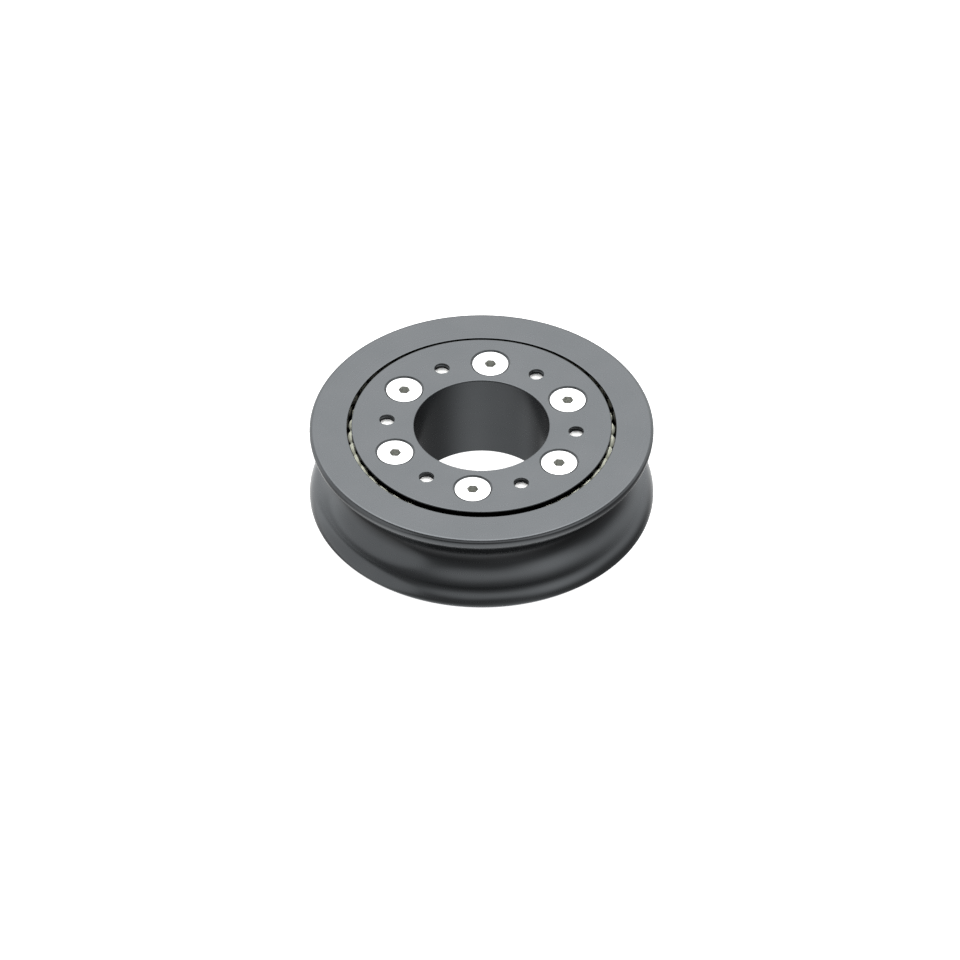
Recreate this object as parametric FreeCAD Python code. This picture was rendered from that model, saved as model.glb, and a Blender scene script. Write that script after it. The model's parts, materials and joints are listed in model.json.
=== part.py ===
import FreeCAD, Part
import math
import os

# Ball-bearing rope sheave. A grooved wheel turns on two rows of balls round a hub, and the hub is two
# equal halves clamped face to face by countersunk screws, put in from both faces in turn.
# The origin is the centre of the part and +Z is its axis. Sizes are in millimetres and degrees.

# Sheave
SHEAVE_DIAMETER = 98.0
SHEAVE_WIDTH = 25.5
GROOVE_BOTTOM_DIAMETER = 83.0
LIP_RADIUS = 4.6
FACE_CORNER_RADIUS = 1.0

# Ball rows and the races that they run in
BALL_DIAMETER = 4.7625
BALL_CIRCLE_DIAMETER = 71.5
BALL_LEAST_GAP = 0.2
RACE_CLEARANCE = 0.12

# Hub
HUB_BORE_DIAMETER = 38.5
HUB_PROUD = 0.65
FLANGE_OVER_RACE = 1.65
FLANGE_GAP = 1.25
RIB_GAP = 1.25
EDGE_BREAK = 0.25

# Countersunk hex-socket screws, with the thread drawn as a plain shank near its core diameter
SCREWS_PER_FACE = 6
SCREW_CIRCLE_DIAMETER = 54.0
THREAD_DIAMETER = 4.3
HEAD_DIAMETER = 10.3
HEAD_LAND = 0.2
HEAD_RECESS = 0.27
TIP_DEPTH = 1.53
TIP_CHAMFER = 0.15
SOCKET_WIDTH = 3.0
SOCKET_DEPTH = 2.2
SOCKET_POINT_ANGLE = 120.0
SOCKET_TURN = 30.0
HEX_SIDES = 6
SHANK_CLEARANCE = 0.6
THREAD_CLEARANCE = 0.06
HEAD_SEAT_CLEARANCE = 0.07

# Sizes that follow from the ones above
sheave_radius = SHEAVE_DIAMETER / 2
sheave_half = SHEAVE_WIDTH / 2
hub_half = sheave_half + HUB_PROUD
bore_radius = HUB_BORE_DIAMETER / 2
pitch_radius = BALL_CIRCLE_DIAMETER / 2
balls_per_row = int(math.pi / math.asin((BALL_DIAMETER + BALL_LEAST_GAP) / BALL_CIRCLE_DIAMETER))
race_radius = BALL_DIAMETER / 2 + RACE_CLEARANCE
barrel_radius = pitch_radius - race_radius
counterbore_radius = pitch_radius + race_radius
flange_radius = counterbore_radius - FLANGE_GAP
rib_radius = barrel_radius + RIB_GAP
row_height = hub_half - FLANGE_OVER_RACE - race_radius
screw_radius = SCREW_CIRCLE_DIAMETER / 2
screw_step = 360 / SCREWS_PER_FACE
thread_radius = THREAD_DIAMETER / 2
head_sharp_radius = HEAD_DIAMETER / 2 + HEAD_LAND
head_top = hub_half - HEAD_RECESS
tip_height = TIP_DEPTH - hub_half

ORIGIN = FreeCAD.Vector(0, 0, 0)
UP = FreeCAD.Vector(0, 0, 1)


def at(radius, height):
    """A point of a turned section."""
    return FreeCAD.Vector(radius, 0, height)


def on_arc(centre, radius, angle):
    """The point of a section's arc at an angle above the outward direction."""
    turn = math.radians(angle)
    return centre + at(radius * math.cos(turn), radius * math.sin(turn))


def arc(centre, radius, start, end):
    """An arc of a section, from one angle to another."""
    points = [on_arc(centre, radius, angle) for angle in (start, (start + end) / 2, end)]
    return Part.Arc(*points).toShape()


def lines(*points):
    """Straight edges from point to point."""
    return [Part.LineSegment(a, b).toShape() for a, b in zip(points, points[1:])]


def turned(edges):
    """The solid that a closed section sweeps in one turn about the axis."""
    wire = Part.Wire(Part.__sortEdges__(edges))
    return Part.Face(wire).revolve(ORIGIN, UP, 360)


def moved(shape, radius, angle):
    """A copy of a shape, set out from the axis and turned about it."""
    copy = shape.copy()
    copy.translate(at(radius, 0))
    copy.rotate(ORIGIN, UP, angle)
    return copy


def turned_over(shape):
    """A copy for the lower face: over the line midway between a countersunk and a tapped hole."""
    copy = shape.copy()
    line_angle = math.radians(screw_step / 4)
    copy.rotate(ORIGIN, FreeCAD.Vector(math.cos(line_angle), math.sin(line_angle), 0), 180)
    return copy


def make_sheave():
    """The wheel: an S-curved rim section outside, two ball races with a rib between them inside."""
    lip = at(sheave_radius - LIP_RADIUS, sheave_half - FACE_CORNER_RADIUS)
    corner = at(sheave_radius - FACE_CORNER_RADIUS, lip.z)
    ball = at(pitch_radius, row_height)

    # The groove's arc runs through its bottom and is tangent to both lips.
    bottom = GROOVE_BOTTOM_DIAMETER / 2
    depth = bottom - lip.x
    groove_radius = (depth**2 + lip.z**2 - LIP_RADIUS**2) / (2 * (LIP_RADIUS - depth))
    groove = at(bottom + groove_radius, 0)
    tangent_angle = math.degrees(math.atan2(lip.z, groove.x - lip.x))
    groove_arc = arc(groove, groove_radius, 180 - tangent_angle, 180 + tangent_angle)

    race_end = -math.degrees(math.acos((rib_radius - pitch_radius) / race_radius))
    rib_edge = on_arc(ball, race_radius, race_end)
    rib_bore = lines(rib_edge, at(rib_edge.x, -rib_edge.z))

    side = [
        arc(lip, LIP_RADIUS, -tangent_angle, 0),
        arc(corner, FACE_CORNER_RADIUS, 0, 90),
        *lines(
            at(corner.x, sheave_half),
            at(counterbore_radius + EDGE_BREAK, sheave_half),
            at(counterbore_radius, sheave_half - EDGE_BREAK),
            at(counterbore_radius, row_height),
        ),
        arc(ball, race_radius, 0, race_end),
    ]
    other_side = [edge.mirror(ORIGIN, UP) for edge in side]
    return turned([groove_arc, *rib_bore, *side, *other_side])


def make_screw():
    """One screw of the upper face, on the part's axis. Its 90 degree cone narrows as much as it drops."""
    blank = turned(lines(
        at(0, head_top),
        at(HEAD_DIAMETER / 2, head_top),
        at(HEAD_DIAMETER / 2, head_top - HEAD_LAND),
        at(thread_radius, head_top - head_sharp_radius + thread_radius),
        at(thread_radius, tip_height + TIP_CHAMFER),
        at(thread_radius - TIP_CHAMFER, tip_height),
        at(0, tip_height),
        at(0, head_top),
    ))

    flat_radius = SOCKET_WIDTH / 2
    hex_corner = at(flat_radius / math.cos(math.pi / HEX_SIDES), 0)
    turns = [SOCKET_TURN + 360 * side / HEX_SIDES for side in range(HEX_SIDES + 1)]
    hexagon = Part.makePolygon([FreeCAD.Rotation(UP, turn).multVec(hex_corner) for turn in turns])
    prism = Part.Face(hexagon).extrude(UP * SOCKET_DEPTH)
    prism.translate(UP * (head_top - SOCKET_DEPTH))
    point_depth = flat_radius / math.tan(math.radians(SOCKET_POINT_ANGLE / 2))
    drill_point = Part.makeCone(flat_radius, 0, point_depth, UP * (head_top - SOCKET_DEPTH), -UP)
    return blank.cut(prism).cut(drill_point)


def make_hub_half():
    """The upper half: a barrel with a flange that hooks over the balls, and two kinds of hole in turn."""
    ball = at(pitch_radius, row_height)
    race_end = math.degrees(math.acos((flange_radius - pitch_radius) / race_radius))
    blank = turned([
        *lines(
            on_arc(ball, race_radius, race_end),
            at(flange_radius, hub_half - EDGE_BREAK),
            at(flange_radius - EDGE_BREAK, hub_half),
            at(bore_radius + EDGE_BREAK, hub_half),
            at(bore_radius, hub_half - EDGE_BREAK),
            at(bore_radius, 0),
            at(barrel_radius, 0),
            at(barrel_radius, row_height),
        ),
        arc(ball, race_radius, 180, race_end),
    ])

    shank_radius = thread_radius + SHANK_CLEARANCE
    mouth_radius = head_sharp_radius + HEAD_RECESS + HEAD_SEAT_CLEARANCE
    countersunk_hole = turned(lines(
        at(0, 0),
        at(shank_radius, 0),
        at(shank_radius, hub_half - mouth_radius + shank_radius),
        at(mouth_radius, hub_half),
        at(0, hub_half),
        at(0, 0),
    ))
    tapped_hole = Part.makeCylinder(thread_radius + THREAD_CLEARANCE, hub_half)
    holes = []
    for index in range(SCREWS_PER_FACE):
        holes.append(moved(countersunk_hole, screw_radius, index * screw_step))
        holes.append(moved(tapped_hole, screw_radius, (index + 0.5) * screw_step))
    return blank.cut(holes)


def make_screws():
    """The screws of the upper face."""
    screw = make_screw()
    return Part.makeCompound([moved(screw, screw_radius, i * screw_step) for i in range(SCREWS_PER_FACE)])


def make_ball_row(height):
    """One full row of balls."""
    ball = Part.makeSphere(BALL_DIAMETER / 2, UP * height)
    step = 360 / balls_per_row
    return Part.makeCompound([moved(ball, pitch_radius, i * step) for i in range(balls_per_row)])


hub_half_shape = make_hub_half()
screws_shape = make_screws()
nodes = {
    "sheave": make_sheave(),
    "upper_hub_half": hub_half_shape,
    "lower_hub_half": turned_over(hub_half_shape),
    "upper_screws": screws_shape,
    "lower_screws": turned_over(screws_shape),
    "upper_balls": make_ball_row(row_height),
    "lower_balls": make_ball_row(-row_height),
}

os.makedirs("parts", exist_ok=True)
for name, shape in nodes.items():
    shape.exportStep(f"parts/{name}.step")
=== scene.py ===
import json
import math

import bmesh
import bpy
from mathutils import Matrix, Vector


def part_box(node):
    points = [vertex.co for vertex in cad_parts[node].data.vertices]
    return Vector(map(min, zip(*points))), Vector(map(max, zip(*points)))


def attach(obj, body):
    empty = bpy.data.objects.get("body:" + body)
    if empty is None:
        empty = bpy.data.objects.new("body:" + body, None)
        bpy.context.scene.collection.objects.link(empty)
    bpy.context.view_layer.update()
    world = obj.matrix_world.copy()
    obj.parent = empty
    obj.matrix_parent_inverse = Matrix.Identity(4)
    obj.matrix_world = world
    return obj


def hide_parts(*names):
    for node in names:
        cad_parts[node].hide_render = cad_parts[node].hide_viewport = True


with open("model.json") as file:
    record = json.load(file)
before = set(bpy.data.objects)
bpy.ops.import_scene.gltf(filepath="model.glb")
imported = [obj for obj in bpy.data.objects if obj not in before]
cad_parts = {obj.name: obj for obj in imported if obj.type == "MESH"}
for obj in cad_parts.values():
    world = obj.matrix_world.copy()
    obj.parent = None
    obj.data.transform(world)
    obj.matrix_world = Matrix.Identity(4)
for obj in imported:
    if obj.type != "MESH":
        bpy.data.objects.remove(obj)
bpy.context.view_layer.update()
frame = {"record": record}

# A ball-bearing rope sheave: a grooved wheel that turns on two rows of plastic balls round a split hub,
# which countersunk screws clamp together. Sizes are in millimetres and angles in degrees, until a mesh, a
# tree or a material takes them in metres and radians.
MM = 0.001

# Sizes that the frame holds. The wheel takes the smallest reach of its faceted rim, to stay inside its box.
sheave_radius = min(abs(reach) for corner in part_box("sheave") for reach in corner.xy) / MM
sheave_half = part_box("sheave")[1].z / MM
hub_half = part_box("upper_hub_half")[1].z / MM
row_height = sum(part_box("upper_balls"), Vector()).z / 2 / MM
bore_radius = next(m["dims"]["r_mm"] for m in frame["record"]["mounts"] if m["name"] == "hub_bore")

# Rim of the sheave
GROOVE_BOTTOM_RADIUS = 41.5
LIP_RADIUS = 4.6
FACE_CORNER_RADIUS = 1.0

# Turned edges are rounded, and a point on the flat beside each round keeps the flat's shading flat
EDGE_ROUND = 0.25
EDGE_SUPPORT = 0.12

# Balls and their races
BALL_RADIUS = 2.38125
BALL_CIRCLE_RADIUS = 35.75
BALLS_PER_ROW = 45
RACE_CLEARANCE = 0.12
FLANGE_GAP = 1.25
RIB_GAP = 1.25

# Countersunk hex-socket screws and their holes
SCREWS_PER_FACE = 6
SCREW_CIRCLE_RADIUS = 27.0
HEAD_RADIUS = 5.15
HEAD_LAND = 0.2
HEAD_RECESS = 0.27
HEAD_EDGE_ROUND = 0.12
SHANK_RADIUS = 2.15
TIP_DEPTH = 1.53
TIP_CHAMFER = 0.15
SOCKET_FLAT_RADIUS = 1.5
SOCKET_DEPTH = 2.2
SOCKET_POINT_ANGLE = 120.0
SOCKET_TURN = 30.0
HEX_SIDES = 6
SHANK_CLEARANCE = 0.6
HEAD_SEAT_CLEARANCE = 0.07

# Thread of the screws, and the same thread in their holes, wider by a clearance. Spare turns at both ends
# run out to nothing.
THREAD_PITCH = 0.8
THREAD_ROOT_RADIUS = 2.05
THREAD_DEPTH = 0.35
THREAD_LENGTH = 16.0
THREAD_RUN_OUT = 0.8
THREAD_SPARE_TURNS = 2
THREAD_CLEARANCE = 0.12
HOLE_MOUTH_RADIUS = 2.21
HOLE_MOUTH_DEPTH = 0.3

# One pitch of thread is a root, a flank, a crest and a flank of equal width, from one point to the next
THREAD_FORM_POINTS = 5
CREST_CENTRE = -0.125
CREST_REACH = 0.2

# How finely round shapes are divided: in a whole turn, and then in each arc of a section
WHEEL_STEPS = 240
SCREW_STEPS = 48
BALL_SEGMENTS = 28
BALL_RINGS = 16
GROOVE_STEPS = 24
LIP_STEPS = 16
FACE_CORNER_STEPS = 10
EDGE_STEPS = 5
SHEAVE_RACE_STEPS = 16
HUB_RACE_STEPS = 20
HEAD_EDGE_STEPS = 4

# How far a tool reaches past what it cuts, the circle that a section is swept along, and how near points weld
TOOL_OVERRUN = 1.0
LATHE_PATH_RADIUS = 30.0
WELD_DISTANCE = 0.002

# Edges that turn by more than this stay sharp
SHARP_ANGLE = 32.0

# The photograph's view, with its frame's width and where its centre lies from the middle of the upper face
VIEW_AZIMUTH = 35.34
VIEW_ELEVATION = 41.63
FRAME_WIDTH = 272.9
FRAME_CENTRE_RIGHT = -0.44
FRAME_CENTRE_UP = -15.51
CAMERA_LENS = 1000.0
CAMERA_SENSOR = 36.0
CAMERA_REACH = 100000.0

# Sizes that follow from the ones above
race_radius = BALL_RADIUS + RACE_CLEARANCE
barrel_radius = BALL_CIRCLE_RADIUS - race_radius
counterbore_radius = BALL_CIRCLE_RADIUS + race_radius
flange_radius = counterbore_radius - FLANGE_GAP
rib_radius = barrel_radius + RIB_GAP
screw_step = 360 / SCREWS_PER_FACE
head_top = hub_half - HEAD_RECESS
head_sharp_radius = HEAD_RADIUS + HEAD_LAND
tip_height = TIP_DEPTH - hub_half


def add(tree, kind, inputs=None, **settings):
    """Adds a node to a tree, with its settings, and with inputs that are sockets to link or values."""
    node = tree.nodes.new(kind)
    for name, value in settings.items():
        setattr(node, name, value)
    for key, value in (inputs or {}).items():
        if isinstance(value, bpy.types.NodeSocket):
            tree.links.new(value, node.inputs[key])
        else:
            node.inputs[key].default_value = value
    return node


# Trees that make the shapes

COUNT = ("NodeSocketInt", "NONE")
LENGTH = ("NodeSocketFloat", "DISTANCE")
ANGLE = ("NodeSocketFloat", "ANGLE")
UNITS = {"DISTANCE": MM, "ANGLE": math.radians(1)}
RING_SIZES = {"Count": COUNT, "Circle Radius": LENGTH, "First Angle": ANGLE}
OWN_PLACE = "own_place"


def new_tree(name, sizes):
    """A tree from a geometry, a finish and named sizes to a geometry. Returns it with its input sockets."""
    tree = bpy.data.node_groups.new(name, "GeometryNodeTree")
    tree.interface.new_socket("Geometry", in_out="OUTPUT", socket_type="NodeSocketGeometry")
    tree.interface.new_socket("Geometry", in_out="INPUT", socket_type="NodeSocketGeometry")
    tree.interface.new_socket("Finish", in_out="INPUT", socket_type="NodeSocketMaterial")
    for size, (kind, subtype) in sizes.items():
        tree.interface.new_socket(size, in_out="INPUT", socket_type=kind).subtype = subtype
    return tree, add(tree, "NodeGroupInput").outputs


def end_tree(tree, given, geometry):
    """Ends a tree: what is repeated becomes real, and all of it gets the finish."""
    real = add(tree, "GeometryNodeRealizeInstances", {"Geometry": geometry})
    finished = add(tree, "GeometryNodeSetMaterial", {
        "Geometry": real.outputs["Geometry"],
        "Material": given["Finish"],
    })
    add(tree, "NodeGroupOutput", {"Geometry": finished.outputs["Geometry"]})
    return tree


def make_turning_tree():
    """Turns a section, drawn as edges beside the lathe's path, into a solid or a shell about the axis."""
    tree, given = new_tree("turned section", {"Steps": COUNT})
    section = add(tree, "GeometryNodeMeshToCurve", {"Mesh": given["Geometry"]})
    path = add(tree, "GeometryNodeCurvePrimitiveCircle", {
        "Resolution": given["Steps"],
        "Radius": LATHE_PATH_RADIUS * MM,
    })
    swept = add(tree, "GeometryNodeCurveToMesh", {
        "Curve": path.outputs["Curve"],
        "Profile Curve": section.outputs["Curve"],
    })
    welded = add(tree, "GeometryNodeMergeByDistance", {
        "Geometry": swept.outputs["Mesh"],
        "Distance": WELD_DISTANCE * MM,
    })
    return end_tree(tree, given, welded.outputs["Geometry"])


def make_threading_tree():
    """Joins the two ends of a turned shell by a right-hand thread.

    A flat grid, one unit long for each turn and one unit wide for a pitch, is rolled up round the axis. It
    reaches past both ends, where its height is held at the end's height and its depth has run out.
    """
    tree, given = new_tree("threaded length", {
        "Steps": COUNT,
        "Turns": COUNT,
        "Middle Turn": COUNT,
        "Root Radius": LENGTH,
        "Depth": LENGTH,
        "Pitch": LENGTH,
        "Bottom": LENGTH,
        "Top": LENGTH,
        "Run-out": LENGTH,
    })
    columns = add(tree, "ShaderNodeMath", {
        0: given["Turns"],
        1: given["Steps"],
        2: 1.0,
    }, operation="MULTIPLY_ADD")
    flat_grid = add(tree, "GeometryNodeMeshGrid", {
        "Size X": given["Turns"],
        "Size Y": 1.0,
        "Vertices X": columns.outputs[0],
        "Vertices Y": THREAD_FORM_POINTS,
    })
    place = add(tree, "ShaderNodeSeparateXYZ", {0: add(tree, "GeometryNodeInputPosition").outputs[0]})
    along, across = place.outputs["X"], place.outputs["Y"]

    turn = add(tree, "ShaderNodeMath", {0: along, 1: given["Middle Turn"]}, operation="ADD")
    from_crest = add(tree, "ShaderNodeMath", {0: across, 1: CREST_CENTRE}, operation="SUBTRACT")
    pitches = add(tree, "ShaderNodeMath", {0: turn.outputs[0], 1: from_crest.outputs[0]}, operation="ADD")
    rise = add(tree, "ShaderNodeMath", {0: pitches.outputs[0], 1: given["Pitch"]}, operation="MULTIPLY")
    height = add(tree, "ShaderNodeClamp", {
        "Value": rise.outputs[0],
        "Min": given["Bottom"],
        "Max": given["Top"],
    })

    above = add(tree, "ShaderNodeMath", {0: rise.outputs[0], 1: given["Bottom"]}, operation="SUBTRACT")
    below = add(tree, "ShaderNodeMath", {0: given["Top"], 1: rise.outputs[0]}, operation="SUBTRACT")
    inside = add(tree, "ShaderNodeMath", {0: above.outputs[0], 1: below.outputs[0]}, operation="MINIMUM")
    share = add(tree, "ShaderNodeMapRange", {"Value": inside.outputs[0], "From Max": given["Run-out"]})
    depth = add(tree, "ShaderNodeMath", {0: share.outputs[0], 1: given["Depth"]}, operation="MULTIPLY")
    is_crest = add(tree, "ShaderNodeMath", {
        0: from_crest.outputs[0],
        1: 0.0,
        2: CREST_REACH,
    }, operation="COMPARE")
    radius = add(tree, "ShaderNodeMath", {
        0: is_crest.outputs[0],
        1: depth.outputs[0],
        2: given["Root Radius"],
    }, operation="MULTIPLY_ADD")

    outward = add(tree, "ShaderNodeCombineXYZ", {"X": radius.outputs[0], "Z": height.outputs["Result"]})
    angle = add(tree, "ShaderNodeMath", {0: along, 1: math.tau}, operation="MULTIPLY")
    rolled = add(tree, "ShaderNodeVectorRotate", {
        "Vector": outward.outputs["Vector"],
        "Angle": angle.outputs[0],
    }, rotation_type="Z_AXIS")
    thread = add(tree, "GeometryNodeSetPosition", {
        "Geometry": flat_grid.outputs["Mesh"],
        "Position": rolled.outputs["Vector"],
    })
    joined = add(tree, "GeometryNodeJoinGeometry")
    tree.links.new(given["Geometry"], joined.inputs["Geometry"])
    tree.links.new(thread.outputs["Geometry"], joined.inputs["Geometry"])
    welded = add(tree, "GeometryNodeMergeByDistance", {
        "Geometry": joined.outputs["Geometry"],
        "Distance": WELD_DISTANCE * MM,
    })
    return end_tree(tree, given, welded.outputs["Geometry"])


def make_ring_tree():
    """Sets copies of a part out in a ring.

    Each point keeps its place in the part, so that marks can run about the part's own axis.
    """
    tree, given = new_tree("ring of parts", RING_SIZES)
    part = add(tree, "GeometryNodeStoreNamedAttribute", {
        "Geometry": given["Geometry"],
        "Name": OWN_PLACE,
        "Value": add(tree, "GeometryNodeInputPosition").outputs[0],
    }, data_type="FLOAT_VECTOR")
    share = add(tree, "ShaderNodeMath", {
        0: add(tree, "GeometryNodeInputIndex").outputs[0],
        1: given["Count"],
    }, operation="DIVIDE")
    angle = add(tree, "ShaderNodeMath", {
        0: share.outputs[0],
        1: math.tau,
        2: given["First Angle"],
    }, operation="MULTIPLY_ADD")
    outward = add(tree, "ShaderNodeCombineXYZ", {"X": given["Circle Radius"]})
    spot = add(tree, "ShaderNodeVectorRotate", {
        "Vector": outward.outputs["Vector"],
        "Angle": angle.outputs[0],
    }, rotation_type="Z_AXIS")
    spots = add(tree, "GeometryNodePoints", {"Count": given["Count"], "Position": spot.outputs["Vector"]})
    turn = add(tree, "ShaderNodeCombineXYZ", {"Z": angle.outputs[0]})
    copies = add(tree, "GeometryNodeInstanceOnPoints", {
        "Points": spots.outputs[0],
        "Instance": part.outputs["Geometry"],
        "Rotation": turn.outputs["Vector"],
    })
    return end_tree(tree, given, copies.outputs["Instances"])


def make_drilling_tree(ring_tree):
    """Cuts a ring of holes, in the shape of a tool, out of a blank."""
    tree, given = new_tree("drilled blank", RING_SIZES)
    tree.interface.new_socket("Tool", in_out="INPUT", socket_type="NodeSocketObject")
    tool = add(tree, "GeometryNodeObjectInfo", {"Object": given["Tool"]})
    tools = add(tree, "GeometryNodeGroup", {
        "Geometry": tool.outputs["Geometry"],
        "Finish": given["Finish"],
        **{size: given[size] for size in RING_SIZES},
    }, node_tree=ring_tree)
    drilled = add(tree, "GeometryNodeMeshBoolean", {
        "Mesh 1": given["Geometry"],
        "Mesh 2": tools.outputs["Geometry"],
    }, operation="DIFFERENCE", solver="EXACT")
    return end_tree(tree, given, drilled.outputs["Mesh"])


turning_tree = make_turning_tree()
threading_tree = make_threading_tree()
ring_tree = make_ring_tree()
drilling_tree = make_drilling_tree(ring_tree)


def made_by(tree, source, sizes):
    """The mesh that a tree makes of a source mesh, with sizes in millimetres and degrees."""
    holder = bpy.data.objects.new(tree.name, source)
    bpy.context.scene.collection.objects.link(holder)
    modifier = holder.modifiers.new(tree.name, "NODES")
    modifier.node_group = tree
    for socket in tree.interface.items_tree:
        if socket.in_out == "INPUT" and socket.name in sizes:
            value = sizes[socket.name]
            unit = UNITS.get(getattr(socket, "subtype", None))
            modifier[socket.identifier] = value * unit if unit else value
    evaluated = holder.evaluated_get(bpy.context.evaluated_depsgraph_get())
    mesh = bpy.data.meshes.new_from_object(evaluated)
    holder.modifiers.clear()
    bpy.data.objects.remove(holder)
    return mesh


def arc(centre, radius, start, end, steps):
    """Points of an arc in a section, by the angle above the outward direction."""
    angles = [math.radians(start + (end - start) * step / steps) for step in range(steps + 1)]
    return [(centre[0] + radius * math.cos(a), centre[1] + radius * math.sin(a)) for a in angles]


def turned(lines, steps, finish, closed=False):
    """What a section's lines sweep about the axis. They run up the outside, inward, and down the inside."""
    section = bpy.data.meshes.new("section")
    points = []
    edges = []
    for line in lines:
        first = len(points)
        points += [(radius - LATHE_PATH_RADIUS, -height) for radius, height in reversed(line)]
        edges += [(index, index + 1) for index in range(first, len(points) - 1)]
        if closed:
            edges.append((len(points) - 1, first))
    section.from_pydata([(x * MM, y * MM, 0) for x, y in points], edges, [])
    return made_by(turning_tree, section, {"Steps": steps, "Finish": finish})


def threaded(ends, root_radius, bottom, top, finish):
    """A turned tip and head, joined by a thread from one height to another."""
    first_turn = math.floor(bottom / THREAD_PITCH) - THREAD_SPARE_TURNS
    half_turns = math.ceil((top / THREAD_PITCH + THREAD_SPARE_TURNS - first_turn) / 2)
    return made_by(threading_tree, turned(ends, SCREW_STEPS, finish), {
        "Steps": SCREW_STEPS,
        "Turns": 2 * half_turns,
        "Middle Turn": first_turn + half_turns,
        "Root Radius": root_radius,
        "Depth": THREAD_DEPTH,
        "Pitch": THREAD_PITCH,
        "Bottom": bottom,
        "Top": top,
        "Run-out": THREAD_RUN_OUT,
        "Finish": finish,
    })


def ring_of(mesh, count, circle_radius, finish):
    """Copies of a mesh in a ring about the axis, from the X axis on."""
    return made_by(ring_tree, mesh, {
        "Count": count,
        "Circle Radius": circle_radius,
        "First Angle": 0.0,
        "Finish": finish,
    })


def drilled(blank, tool_mesh, count, circle_radius, first_angle, finish):
    """A blank with a ring of holes in the shape of a tool."""
    tool = bpy.data.objects.new("tool", tool_mesh)
    bpy.context.scene.collection.objects.link(tool)
    mesh = made_by(drilling_tree, blank, {
        "Tool": tool,
        "Count": count,
        "Circle Radius": circle_radius,
        "First Angle": first_angle,
        "Finish": finish,
    })
    bpy.data.objects.remove(tool)
    return mesh


def turned_over(mesh):
    """A copy for the lower face: over the line midway between a countersunk and a tapped hole."""
    line_angle = math.radians(screw_step / 4)
    copy = mesh.copy()
    copy.transform(Matrix.Rotation(math.pi, 4, Vector((math.cos(line_angle), math.sin(line_angle), 0))))
    return copy


# Materials. Roughness runs from the glossiest to the dullest part of a pattern.

# Aluminium: turning marks are drawn wider than a fine feed of 0.1 mm, and oxide grain coarser than its
# 0.01 mm, to show. The sum of both keeps mostly to one range. A painted shade in the groove fades from its
# middle to its edge, and a painted shade darkens the races beside the balls.
TURNING_MARK = 0.6
TURNING_MARK_DEPTH = 0.004
TURNING_MARK_STRENGTH = 0.25
OXIDE_GRAIN = 0.3
OXIDE_CLOUD = 14.0
OXIDE_ROUGHNESS = (0.22, 0.28)
MARKS_AND_GRAIN = (0.5, 1.5)
GROOVE_SHADE_CORE = 0.0
GROOVE_SHADE_EDGE = 4.0
RACE_SHADE_REACH = 0.15

# Steel: the rings on a head are drawn wider than their feed of 0.1 mm, to show
HEAD_RING = 0.5
HEAD_ROUGHNESS = (0.16, 0.26)
STEEL_STREAK = 0.8
DULL_ROUGHNESS = 0.65
SOCKET_REACH = 1.8
SOCKET_RIM = 0.02

# Acetal
BALL_CLOUD = 5.0
BALL_SCUFF = 0.4
BALL_ROUGHNESS = (0.22, 0.42)
ACETAL_IOR = 1.48


def linear(hex_colour):
    """A linear colour from an sRGB hex value."""
    shares = [int(hex_colour[start:start + 2], 16) / 255 for start in (1, 3, 5)]
    return *[s / 12.92 if s <= 0.04045 else ((s + 0.055) / 1.055) ** 2.4 for s in shares], 1.0


def new_material(name):
    """A new material, with its tree and its shader."""
    material = bpy.data.materials.new(name)
    material.use_nodes = True
    return material, material.node_tree, material.node_tree.nodes["Principled BSDF"]


def about_axis(tree, place):
    """How far from the axis a place lies, and how high."""
    flat_place = add(tree, "ShaderNodeVectorMath", {0: place, 1: (1, 1, 0)}, operation="MULTIPLY")
    radius = add(tree, "ShaderNodeVectorMath", {0: flat_place.outputs[0]}, operation="LENGTH")
    height = add(tree, "ShaderNodeSeparateXYZ", {0: place})
    return radius.outputs["Value"], height.outputs["Z"]


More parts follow.
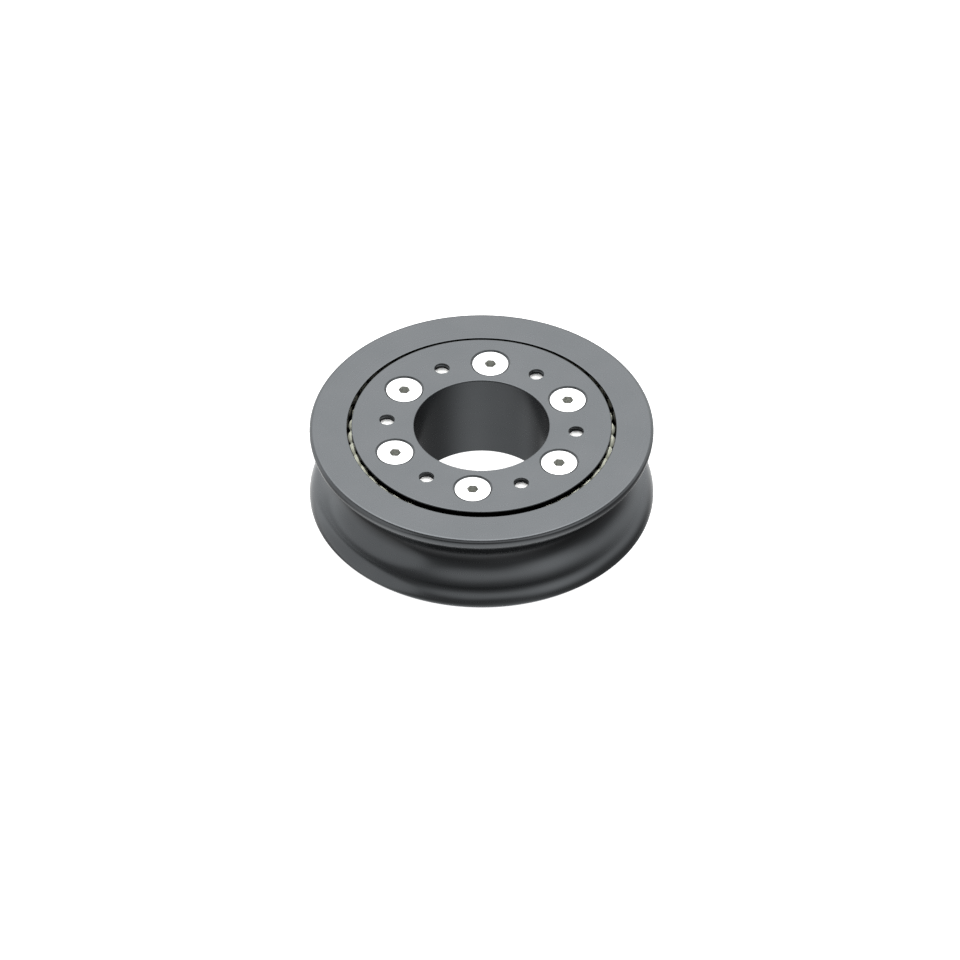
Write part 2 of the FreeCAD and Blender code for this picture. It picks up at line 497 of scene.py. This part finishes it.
def anodised_aluminium(name):
    """Hard-anodised turned aluminium, as it comes off a lathe and out of the dye bath.

    The oxide layer gives an even dark grey metal with a satin gloss, a little cloudy. The turning marks
    under it run round the axis, so they follow the way that the tool went: outward on a face and along the
    axis on a wall. The bottom of the groove is drawn darker as a painted shade, and the races near black as a
    painted shade.
    """
    material, tree, shader = new_material(name)
    place = add(tree, "ShaderNodeTexCoord").outputs["Object"]
    radius, height = about_axis(tree, place)
    from_middle = add(tree, "ShaderNodeMath", {0: height}, operation="ABSOLUTE")
    tool_way = add(tree, "ShaderNodeMath", {0: radius, 1: from_middle.outputs[0]}, operation="ADD")
    marks = add(tree, "ShaderNodeTexNoise", {
        "W": tool_way.outputs[0],
        "Scale": 1 / (TURNING_MARK * MM),
        "Detail": 1.0,
    }, noise_dimensions="1D")
    clouds = add(tree, "ShaderNodeTexNoise", {
        "Vector": place,
        "Scale": 1 / (OXIDE_CLOUD * MM),
        "Detail": 3.0,
    })
    grain = add(tree, "ShaderNodeTexNoise", {
        "Vector": place,
        "Scale": 1 / (OXIDE_GRAIN * MM),
        "Detail": 0.0,
    })

    clean = add(tree, "ShaderNodeMix", {
        "Factor": clouds.outputs["Fac"],
        "A": linear("#535658"),
        "B": linear("#5b5d5f"),
    }, data_type="RGBA")
    # Painted shade in the groove: outside the counterbore, the colour darkens towards #3a3b3c from the
    # groove's edges to its bottom
    outside = add(tree, "ShaderNodeMath", {
        0: radius,
        1: counterbore_radius * MM,
    }, operation="GREATER_THAN")
    groove_shade = add(tree, "ShaderNodeMapRange", {
        "Value": from_middle.outputs[0],
        "From Min": GROOVE_SHADE_EDGE * MM,
        "From Max": GROOVE_SHADE_CORE * MM,
        "To Max": outside.outputs[0],
    }, interpolation_type="SMOOTHSTEP")
    groove_shaded = add(tree, "ShaderNodeMix", {
        "Factor": groove_shade.outputs["Result"],
        "A": clean.outputs["Result"],
        "B": linear("#3a3b3c"),
    }, data_type="RGBA")
    # Painted shade in the gap: the races and walls beside the balls, below the faces, are drawn near black
    # (#161616) where the narrow gap lies in shade
    near_balls = add(tree, "ShaderNodeMath", {
        0: radius,
        1: BALL_CIRCLE_RADIUS * MM,
        2: (race_radius + RACE_SHADE_REACH) * MM,
    }, operation="COMPARE")
    below_face = add(tree, "ShaderNodeMath", {
        0: from_middle.outputs[0],
        1: sheave_half * MM,
    }, operation="LESS_THAN")
    in_race = add(tree, "ShaderNodeMath", {
        0: near_balls.outputs[0],
        1: below_face.outputs[0],
    }, operation="MULTIPLY")
    colour = add(tree, "ShaderNodeMix", {
        "Factor": in_race.outputs[0],
        "A": groove_shaded.outputs["Result"],
        "B": linear("#161616"),
    }, data_type="RGBA")
    texture = add(tree, "ShaderNodeMath", {
        0: marks.outputs["Fac"],
        1: grain.outputs["Fac"],
    }, operation="ADD")
    gloss = add(tree, "ShaderNodeMapRange", {
        "Value": texture.outputs[0],
        "From Min": MARKS_AND_GRAIN[0],
        "From Max": MARKS_AND_GRAIN[1],
        "To Min": OXIDE_ROUGHNESS[0],
        "To Max": OXIDE_ROUGHNESS[1],
    })
    relief = add(tree, "ShaderNodeBump", {
        "Strength": TURNING_MARK_STRENGTH,
        "Distance": TURNING_MARK_DEPTH * MM,
        "Height": texture.outputs[0],
    })
    tree.links.new(colour.outputs["Result"], shader.inputs["Base Color"])
    tree.links.new(gloss.outputs["Result"], shader.inputs["Roughness"])
    tree.links.new(relief.outputs["Normal"], shader.inputs["Normal"])
    shader.inputs["Metallic"].default_value = 1.0
    return material


def stainless_steel(name):
    """Stainless steel of cold-formed screws.

    The head's top is faced and polished, so it mirrors the room, with fine rings about the screw's own axis.
    The cut tip is rough, and drawn near white as a painted light that keeps it bright deep in its hole.
    The socket keeps the dull grey skin of the punch's lubricant.
    """
    material, tree, shader = new_material(name)
    place = add(tree, "ShaderNodeAttribute", attribute_name=OWN_PLACE).outputs["Vector"]
    radius, height = about_axis(tree, place)
    rings = add(tree, "ShaderNodeTexNoise", {
        "W": radius,
        "Scale": 1 / (HEAD_RING * MM),
        "Detail": 2.0,
    }, noise_dimensions="1D")
    streaks = add(tree, "ShaderNodeTexNoise", {
        "Vector": place,
        "Scale": 1 / (STEEL_STREAK * MM),
        "Detail": 2.0,
    })

    near_axis = add(tree, "ShaderNodeMath", {
        0: radius,
        1: SOCKET_REACH * MM,
    }, operation="LESS_THAN")
    in_head = add(tree, "ShaderNodeMath", {
        0: height,
        1: (head_top - SOCKET_RIM - SOCKET_DEPTH) * MM,
        2: SOCKET_DEPTH * MM,
    }, operation="COMPARE")
    in_socket = add(tree, "ShaderNodeMath", {
        0: near_axis.outputs[0],
        1: in_head.outputs[0],
    }, operation="MULTIPLY")
    at_tip = add(tree, "ShaderNodeMath", {
        0: height,
        1: (tip_height + SOCKET_RIM) * MM,
    }, operation="LESS_THAN")
    dull = add(tree, "ShaderNodeMath", {0: in_socket.outputs[0], 1: at_tip.outputs[0]}, operation="ADD")

    skin = add(tree, "ShaderNodeMix", {
        "Factor": streaks.outputs["Fac"],
        "A": linear("#cbccc8"),
        "B": linear("#d6d7d3"),
    }, data_type="RGBA")
    polish = add(tree, "ShaderNodeMix", {
        "Factor": rings.outputs["Fac"],
        "A": linear("#e3e4e4"),
        "B": linear("#edeeee"),
    }, data_type="RGBA")
    head = add(tree, "ShaderNodeMix", {
        "Factor": in_socket.outputs[0],
        "A": polish.outputs["Result"],
        "B": skin.outputs["Result"],
    }, data_type="RGBA")
    # Painted light: the tip is drawn near white, lighter than the head, so that it stays bright at the bottom
    # of its hole
    colour = add(tree, "ShaderNodeMix", {
        "Factor": at_tip.outputs[0],
        "A": head.outputs["Result"],
        "B": linear("#f5f5f4"),
    }, data_type="RGBA")
    head_gloss = add(tree, "ShaderNodeMapRange", {
        "Value": rings.outputs["Fac"],
        "To Min": HEAD_ROUGHNESS[0],
        "To Max": HEAD_ROUGHNESS[1],
    })
    gloss = add(tree, "ShaderNodeMix", {
        "Factor": dull.outputs[0],
        "A": head_gloss.outputs["Result"],
        "B": DULL_ROUGHNESS,
    })
    tree.links.new(colour.outputs["Result"], shader.inputs["Base Color"])
    tree.links.new(gloss.outputs["Result"], shader.inputs["Roughness"])
    shader.inputs["Metallic"].default_value = 1.0
    return material


def acetal(name):
    """Moulded and tumbled acetal.

    It is a smooth, slightly waxy cream plastic, whose tone differs from ball to ball.
    """
    material, tree, shader = new_material(name)
    place = add(tree, "ShaderNodeTexCoord").outputs["Object"]
    clouds = add(tree, "ShaderNodeTexNoise", {
        "Vector": place,
        "Scale": 1 / (BALL_CLOUD * MM),
        "Detail": 1.0,
    })
    scuffs = add(tree, "ShaderNodeTexNoise", {
        "Vector": place,
        "Scale": 1 / (BALL_SCUFF * MM),
        "Detail": 2.0,
    })
    colour = add(tree, "ShaderNodeMix", {
        "Factor": clouds.outputs["Fac"],
        "A": linear("#e8ebd6"),
        "B": linear("#f2f4e4"),
    }, data_type="RGBA")
    gloss = add(tree, "ShaderNodeMapRange", {
        "Value": scuffs.outputs["Fac"],
        "To Min": BALL_ROUGHNESS[0],
        "To Max": BALL_ROUGHNESS[1],
    })
    tree.links.new(colour.outputs["Result"], shader.inputs["Base Color"])
    tree.links.new(gloss.outputs["Result"], shader.inputs["Roughness"])
    shader.inputs["IOR"].default_value = ACETAL_IOR
    return material


# Pieces

def make_sheave(finish):
    """The wheel: an S-curved rim section outside, two ball races with a rib between them inside."""
    lip = (sheave_radius - LIP_RADIUS, sheave_half - FACE_CORNER_RADIUS)
    corner = (sheave_radius - FACE_CORNER_RADIUS, lip[1])
    depth = GROOVE_BOTTOM_RADIUS - lip[0]
    groove_radius = (depth**2 + lip[1]**2 - LIP_RADIUS**2) / (2 * (LIP_RADIUS - depth))
    groove = (GROOVE_BOTTOM_RADIUS + groove_radius, 0)
    tangent_angle = math.degrees(math.atan2(lip[1], groove[0] - lip[0]))
    inner_edge = (counterbore_radius + EDGE_ROUND, sheave_half - EDGE_ROUND)
    race_end = -math.degrees(math.acos((rib_radius - BALL_CIRCLE_RADIUS) / race_radius))

    side = [
        *arc(groove, groove_radius, 180, 180 - tangent_angle, GROOVE_STEPS),
        *arc(lip, LIP_RADIUS, -tangent_angle, 0, LIP_STEPS)[1:],
        *arc(corner, FACE_CORNER_RADIUS, 0, 90, FACE_CORNER_STEPS)[1:],
        (corner[0] - EDGE_SUPPORT, sheave_half),
        (inner_edge[0] + EDGE_SUPPORT, sheave_half),
        *arc(inner_edge, EDGE_ROUND, 90, 180, EDGE_STEPS),
        (counterbore_radius, inner_edge[1] - EDGE_SUPPORT),
        *arc((BALL_CIRCLE_RADIUS, row_height), race_radius, 0, race_end, SHEAVE_RACE_STEPS),
        (rib_radius, 0),
    ]
    other_side = [(radius, -height) for radius, height in reversed(side[1:-1])]
    return turned([side + other_side], WHEEL_STEPS, finish, closed=True)


def make_screw(finish):
    """One screw of the upper face, on the part's axis: a countersunk head, a socket and a thread."""
    thread_bottom = tip_height + TIP_CHAMFER
    thread_top = tip_height + THREAD_LENGTH
    edge = (HEAD_RADIUS - HEAD_EDGE_ROUND, head_top - HEAD_EDGE_ROUND)
    tip = [
        (0, tip_height),
        (SHANK_RADIUS - TIP_CHAMFER, tip_height),
        (THREAD_ROOT_RADIUS, thread_bottom),
    ]
    head = [
        (THREAD_ROOT_RADIUS, thread_top),
        (SHANK_RADIUS, thread_top + SHANK_RADIUS - THREAD_ROOT_RADIUS),
        (SHANK_RADIUS, head_top - head_sharp_radius + SHANK_RADIUS),
        (HEAD_RADIUS, head_top - HEAD_LAND),
        *arc(edge, HEAD_EDGE_ROUND, 0, 90, HEAD_EDGE_STEPS),
        (edge[0] - EDGE_SUPPORT, head_top),
        (0, head_top),
    ]
    blank = threaded([tip, head], THREAD_ROOT_RADIUS, thread_bottom, thread_top, finish)

    socket_floor = head_top - SOCKET_DEPTH
    point_depth = SOCKET_FLAT_RADIUS / math.tan(math.radians(SOCKET_POINT_ANGLE / 2))
    hex_corner = SOCKET_FLAT_RADIUS / math.cos(math.pi / HEX_SIDES)
    hexagon = turned([[
        (0, socket_floor),
        (hex_corner, socket_floor),
        (hex_corner, head_top + TOOL_OVERRUN),
        (0, head_top + TOOL_OVERRUN),
    ]], HEX_SIDES, finish)
    drill_point = turned([[
        (0, socket_floor - point_depth),
        (SOCKET_FLAT_RADIUS, socket_floor),
        (0, head_top),
    ]], SCREW_STEPS, finish)
    socketed = drilled(blank, hexagon, 1, 0.0, SOCKET_TURN, finish)
    return drilled(socketed, drill_point, 1, 0.0, 0.0, finish)


def make_hub_half(finish):
    """The upper half: a barrel with a flange that hooks over the balls, and two kinds of hole in turn."""
    race_end = math.degrees(math.acos((flange_radius - BALL_CIRCLE_RADIUS) / race_radius))
    rim_edge = (flange_radius - EDGE_ROUND, hub_half - EDGE_ROUND)
    bore_edge = (bore_radius + EDGE_ROUND, hub_half - EDGE_ROUND)
    blank = turned([[
        (barrel_radius, 0),
        *arc((BALL_CIRCLE_RADIUS, row_height), race_radius, 180, race_end, HUB_RACE_STEPS),
        (flange_radius, rim_edge[1] - EDGE_SUPPORT),
        *arc(rim_edge, EDGE_ROUND, 0, 90, EDGE_STEPS),
        (rim_edge[0] - EDGE_SUPPORT, hub_half),
        (bore_edge[0] + EDGE_SUPPORT, hub_half),
        *arc(bore_edge, EDGE_ROUND, 90, 180, EDGE_STEPS),
        (bore_radius, bore_edge[1] - EDGE_SUPPORT),
        (bore_radius, 0),
    ]], WHEEL_STEPS, finish, closed=True)

    shank_hole_radius = SHANK_RADIUS + SHANK_CLEARANCE
    mouth_radius = head_sharp_radius + HEAD_RECESS + HEAD_SEAT_CLEARANCE
    countersink = turned([[
        (0, -TOOL_OVERRUN),
        (shank_hole_radius, -TOOL_OVERRUN),
        (shank_hole_radius, hub_half - mouth_radius + shank_hole_radius),
        (mouth_radius + TOOL_OVERRUN, hub_half + TOOL_OVERRUN),
        (0, hub_half + TOOL_OVERRUN),
    ]], SCREW_STEPS, finish)

    tap_radius = THREAD_ROOT_RADIUS + THREAD_CLEARANCE
    mouth = hub_half - HOLE_MOUTH_DEPTH
    tap = threaded([
        [(0, -TOOL_OVERRUN), (tap_radius, -TOOL_OVERRUN)],
        [
            (tap_radius, mouth),
            (HOLE_MOUTH_RADIUS, mouth),
            (HOLE_MOUTH_RADIUS, hub_half + TOOL_OVERRUN),
            (0, hub_half + TOOL_OVERRUN),
        ],
    ], tap_radius, -TOOL_OVERRUN, mouth, finish)
    half_drilled = drilled(blank, countersink, SCREWS_PER_FACE, SCREW_CIRCLE_RADIUS, 0.0, finish)
    return drilled(half_drilled, tap, SCREWS_PER_FACE, SCREW_CIRCLE_RADIUS, screw_step / 2, finish)


def make_ball(finish):
    """One ball of the upper row, above the part's centre."""
    ball = bmesh.new()
    bmesh.ops.create_uvsphere(
        ball,
        u_segments=BALL_SEGMENTS,
        v_segments=BALL_RINGS,
        radius=BALL_RADIUS * MM,
        matrix=Matrix.Translation((0, 0, row_height * MM)),
    )
    mesh = bpy.data.meshes.new("ball")
    ball.to_mesh(mesh)
    ball.free()
    return mesh


def fit_piece(name, mesh, finish, node, body):
    """Puts a finished mesh in the place of a CAD node."""
    mesh.materials.clear()
    mesh.materials.append(finish)
    mesh.shade_smooth()
    mesh.set_sharp_from_angle(angle=math.radians(SHARP_ANGLE))
    piece = bpy.data.objects.new(name, mesh)
    bpy.context.scene.collection.objects.link(piece)
    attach(piece, body)
    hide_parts(node)


sheave_finish = anodised_aluminium("hard-anodised aluminium of the sheave")
hub_finish = anodised_aluminium("hard-anodised aluminium of the hub")
screw_finish = stainless_steel("polished stainless steel")
ball_finish = acetal("cream acetal")

sheave_mesh = make_sheave(sheave_finish)
fit_piece("grooved_sheave", sheave_mesh, sheave_finish, "sheave", "sheave")

hub_mesh = make_hub_half(hub_finish)
lower_hub_mesh = turned_over(hub_mesh)
fit_piece("hub_half_upper", hub_mesh, hub_finish, "upper_hub_half", "hub")
fit_piece("hub_half_lower", lower_hub_mesh, hub_finish, "lower_hub_half", "hub")

screws_mesh = ring_of(make_screw(screw_finish), SCREWS_PER_FACE, SCREW_CIRCLE_RADIUS, screw_finish)
lower_screws_mesh = turned_over(screws_mesh)
fit_piece("clamp_screws_upper", screws_mesh, screw_finish, "upper_screws", "hub")
fit_piece("clamp_screws_lower", lower_screws_mesh, screw_finish, "lower_screws", "hub")

balls_mesh = ring_of(make_ball(ball_finish), BALLS_PER_ROW, BALL_CIRCLE_RADIUS, ball_finish)
lower_balls_mesh = balls_mesh.copy()
lower_balls_mesh.transform(Matrix.Translation((0, 0, -2 * row_height * MM)))
fit_piece("ball_row_upper", balls_mesh, ball_finish, "upper_balls", "upper_balls")
fit_piece("ball_row_lower", lower_balls_mesh, ball_finish, "lower_balls", "lower_balls")


# Studio

# The floor, the white that the camera sees behind it, and the room's light between the panels
FLOOR_SIZE = 12000.0
FLOOR_DROP = 0.02
FLOOR_GLOW = 0.8
BACKDROP = 1.0
ROOM_LIGHT = 0.23

# A lamp for the plastic: bearing from the camera's own, elevation, spread and brightness
LAMP_BEARING = 0.0
LAMP_ELEVATION = 55.0
LAMP_SPREAD = 12.0
LAMP_LIGHT = 1.5

# Soft panels round the object: bearing from the camera's own, elevation, the half-angles of the bright core
# and of the faded edge, and brightness
SOFT_PANELS = {
    "far wall": (185, 7, 31, 75, 1.62),
    "overhead panel": (182, 67, 15, 29, 3.1),
    "floor": (337, -79, 25, 52, 1.0),
    "left panel": (278, 5, 41, 47, 0.74),
    "right panel": (50, 28, 4, 47, 1.04),
    "far right panel": (109, 23, 2, 40, 0.79),
    "front panel": (350, 37, 6, 38, 0.68),
    "low front panel": (23, -38, 2, 38, 0.26),
}


def toward(azimuth, elevation):
    """The direction of a point seen from the object, by its azimuth and its elevation."""
    a, e = math.radians(azimuth), math.radians(elevation)
    return Vector((math.sin(a) * math.cos(e), -math.cos(a) * math.cos(e), math.sin(e)))


def make_camera():
    """A camera with a very long lens at the photograph's viewing angle."""
    back = toward(VIEW_AZIMUTH, VIEW_ELEVATION)
    right = toward(VIEW_AZIMUTH + 90, 0)
    up = back.cross(right)
    target = Vector((0, 0, hub_half)) + right * FRAME_CENTRE_RIGHT + up * FRAME_CENTRE_UP
    distance = FRAME_WIDTH * CAMERA_LENS / CAMERA_SENSOR
    camera = bpy.data.objects.new("camera", bpy.data.cameras.new("camera"))
    camera.data.lens = CAMERA_LENS
    camera.data.sensor_width = CAMERA_SENSOR
    camera.data.clip_end = CAMERA_REACH * MM
    camera.rotation_mode = "QUATERNION"
    camera.location = (target + back * distance) * MM
    camera.rotation_quaternion = (-back).to_track_quat("-Z", "Y")
    bpy.context.scene.collection.objects.link(camera)
    bpy.context.scene.camera = camera


def make_floor():
    """A plain white floor just under the hub, lit from below like a light table.

    Only the camera sees it: the world's own floor panel throws the light back up. From below it is clear, so
    that the underside shows.
    """
    material, tree, shader = new_material("white light table")
    shader.inputs["Base Color"].default_value = linear("#f2f2f2")
    shader.inputs["Roughness"].default_value = 1.0
    shader.inputs["Specular IOR Level"].default_value = 0.0
    shader.inputs["Emission Color"].default_value = linear("#ffffff")
    shader.inputs["Emission Strength"].default_value = FLOOR_GLOW
    one_way = add(tree, "ShaderNodeMixShader", {
        "Fac": add(tree, "ShaderNodeNewGeometry").outputs["Backfacing"],
        1: shader.outputs["BSDF"],
        2: add(tree, "ShaderNodeBsdfTransparent").outputs["BSDF"],
    })
    tree.links.new(one_way.outputs["Shader"], tree.nodes["Material Output"].inputs["Surface"])
    floor = bmesh.new()
    bmesh.ops.create_grid(
        floor,
        x_segments=1,
        y_segments=1,
        size=FLOOR_SIZE / 2 * MM,
        matrix=Matrix.Translation((0, 0, -(hub_half + FLOOR_DROP) * MM)),
    )
    mesh = bpy.data.meshes.new("floor")
    floor.to_mesh(mesh)
    floor.free()
    mesh.materials.append(material)
    piece = bpy.data.objects.new("floor", mesh)
    piece.visible_diffuse = False
    piece.visible_glossy = False
    piece.visible_shadow = False
    bpy.context.scene.collection.objects.link(piece)


def make_world():
    """Soft panels in a dim room. The camera itself sees a plain white backdrop."""
    world = bpy.data.worlds.new("studio")
    world.use_nodes = True
    tree = world.node_tree
    direction = add(tree, "ShaderNodeTexCoord").outputs["Generated"]
    light = ROOM_LIGHT
    for bearing, elevation, core, edge, brightness in SOFT_PANELS.values():
        middle = toward(VIEW_AZIMUTH + bearing, elevation)
        nearness = add(tree, "ShaderNodeVectorMath", {0: direction, 1: middle}, operation="DOT_PRODUCT")
        angle = add(tree, "ShaderNodeMath", {0: nearness.outputs["Value"]}, operation="ARCCOSINE")
        panel = add(tree, "ShaderNodeMapRange", {
            "Value": angle.outputs[0],
            "From Min": math.radians(edge),
            "From Max": math.radians(core),
        }, interpolation_type="SMOOTHSTEP")
        lit = add(tree, "ShaderNodeMath", {
            0: panel.outputs["Result"],
            1: brightness,
            2: light,
        }, operation="MULTIPLY_ADD")
        light = lit.outputs[0]
    ray = add(tree, "ShaderNodeLightPath").outputs
    shown = add(tree, "ShaderNodeMix", {"Factor": ray["Is Camera Ray"], "A": light, "B": BACKDROP})
    background = tree.nodes["Background"]
    background.inputs["Color"].default_value = linear("#ffffff")
    tree.links.new(shown.outputs["Result"], background.inputs["Strength"])
    bpy.context.scene.world = world


def make_lamp():
    """A lamp above the camera's side, which reaches the balls through their narrow gap.

    The metal doesn't mirror it, because a lamp's hard glints would hide the panels' soft gloss.
    """
    lamp = bpy.data.objects.new("lamp", bpy.data.lights.new("lamp", "SUN"))
    lamp.data.energy = LAMP_LIGHT
    lamp.data.angle = math.radians(LAMP_SPREAD)
    lamp.rotation_mode = "QUATERNION"
    lamp.rotation_quaternion = toward(VIEW_AZIMUTH + LAMP_BEARING, LAMP_ELEVATION).to_track_quat("Z", "Y")
    lamp.visible_glossy = False
    bpy.context.scene.collection.objects.link(lamp)


make_camera()
make_floor()
make_world()
make_lamp()
bpy.context.scene.view_settings.view_transform = "Standard"
